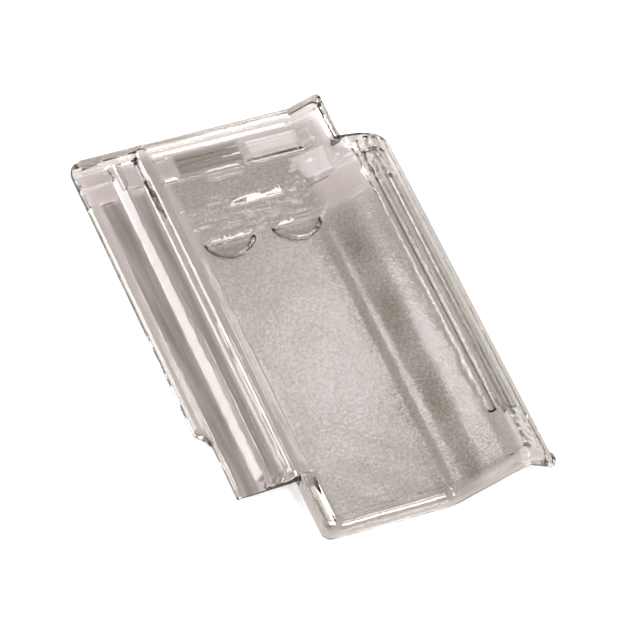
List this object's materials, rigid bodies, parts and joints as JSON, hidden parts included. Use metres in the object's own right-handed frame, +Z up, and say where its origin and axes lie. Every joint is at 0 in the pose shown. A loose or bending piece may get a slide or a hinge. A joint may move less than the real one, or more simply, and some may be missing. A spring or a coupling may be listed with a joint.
{
  "type": "glass roof tile",
  "caption": "Clear pressed-glass interlocking roof tile: flat pan, raised roll on one side, channelled side lock on the other, head lock and batten nibs; lets daylight through a tiled roof.",
  "frame": {"origin": "under the middle of the tile's outline, on the level it rests on", "axes": "+X from the side lock to the roll, +Y from the tail to the head, +Z up, weather side up"},
  "size_m": [0.266, 0.412, 0.0461],
  "materials": {
    "pressed_glass": "gloss"
  },
  "bodies": {
    "root": {"glass_roof_tile": "pressed_glass"}
  },
  "joints": []
}
